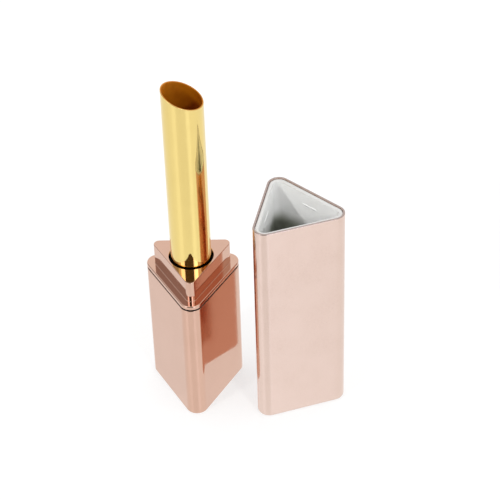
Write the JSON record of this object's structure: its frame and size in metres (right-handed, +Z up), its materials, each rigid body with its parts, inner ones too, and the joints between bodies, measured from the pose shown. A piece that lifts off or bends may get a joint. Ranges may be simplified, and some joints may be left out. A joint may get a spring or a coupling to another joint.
{
  "type": "lipstick case",
  "caption": "Slim refillable lipstick case with a rounded-triangle base and cap, a twist collar, a slant-cut gilt tube and a rising cup, shown open with its cap beside it.",
  "frame": {"origin": "middle of the base's flat underside, on the axis the collar and tube turn about", "axes": "+Z up along the tube; -Y towards the upright edge of the base that faces the viewer; +X towards the cap standing beside it"},
  "size_m": [0.0469, 0.0215, 0.0876],
  "materials": {
    "rose_gold_mirror": "polished, rose-gold anodised",
    "rose_gold_plated_plastic": "metallised mirror plating on moulded plastic",
    "rose_gold_satin": "fine satin, pale rose-gold anodised",
    "gold_mirror": "polished, yellow-gold anodised",
    "black_plastic": "moulded, semi-matte",
    "white_plastic": "moulded, natural acetal",
    "liner_plastic": "moulded, semi-gloss grey-white",
    "amber_plastic": "moulded, gold tinted",
    "steel": "zinc plated",
    "silicone": "matte silicone"
  },
  "bodies": {
    "base": {"base_shell": "rose_gold_mirror", "base_insert": "black_plastic", "base_weight": "steel", "guide_fork": "white_plastic", "drag_ring": "silicone"},
    "barrel": {"collar": "rose_gold_plated_plastic", "spiral_sleeve": "black_plastic", "centring_ring": "black_plastic", "gilt_tube": "gold_mirror"},
    "cup": {"bullet_cup": "amber_plastic", "lift_stem": "white_plastic"},
    "cap": {"cap_shell": "rose_gold_satin", "cap_liner": "liner_plastic"}
  },
  "joints": [
    {"name": "twist", "type": "hinge", "parent": "base", "child": "barrel", "pos_m": [0, 0, 0.0336], "axis": [0, 0, -1], "range_deg": [0, 600]},
    {"name": "cup_rise", "type": "slide", "parent": "base", "child": "cup", "axis": [0, 0, 1], "range_m": [0, 0.023]},
    {"name": "cap_lift", "type": "slide", "parent": "base", "child": "cap", "axis": [0, 0, 1], "range_m": [0, 0.053]}
  ],
  "couplings": [
    {"joint": "cup_rise", "follows": "twist", "m_per_rad": 0.0021963}
  ]
}
